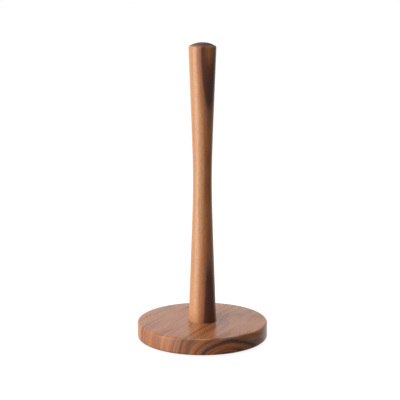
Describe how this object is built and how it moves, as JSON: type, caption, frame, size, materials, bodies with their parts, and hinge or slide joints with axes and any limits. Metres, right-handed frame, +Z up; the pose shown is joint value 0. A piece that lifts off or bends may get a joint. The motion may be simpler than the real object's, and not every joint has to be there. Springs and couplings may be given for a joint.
{
  "type": "paper towel holder",
  "caption": "Upright paper towel holder: a waisted turned wooden post with a domed top, bolted from below to a round wooden base on rubber pads.",
  "frame": {"origin": "centre of the base on the surface it stands on, at the underside of the foot pads", "axes": "+Z up along the post and the bolt; +X and +Y are level and equal, since the wooden parts are turned about +Z"},
  "size_m": [0.15, 0.15, 0.34],
  "materials": {
    "base_wood": "oiled hardwood, satin",
    "post_wood": "oiled hardwood, satin",
    "brass": "turned",
    "zinc_steel": "bright zinc plated",
    "pad_rubber": "matte moulded"
  },
  "bodies": {
    "base": {"base_disc": "base_wood", "plain_washer": "zinc_steel", "spring_washer": "zinc_steel", "foot_pad_1": "pad_rubber", "foot_pad_2": "pad_rubber", "foot_pad_3": "pad_rubber", "foot_pad_4": "pad_rubber"},
    "bolt": {"bolt": "zinc_steel"},
    "post": {"post": "post_wood", "threaded_insert": "brass"}
  },
  "joints": [
    {"name": "bolt_turn", "type": "hinge", "parent": "base", "child": "bolt", "pos_m": [0, 0, 0], "axis": [0, 0, -1], "range_deg": [0, 4680]},
    {"name": "post_lift", "type": "slide", "parent": "base", "child": "post", "axis": [0, 0, 1], "range_m": [0, 0.013]}
  ],
  "couplings": [
    {"joint": "bolt_turn", "follows": "post_lift", "rad_per_m": 6283.2}
  ]
}
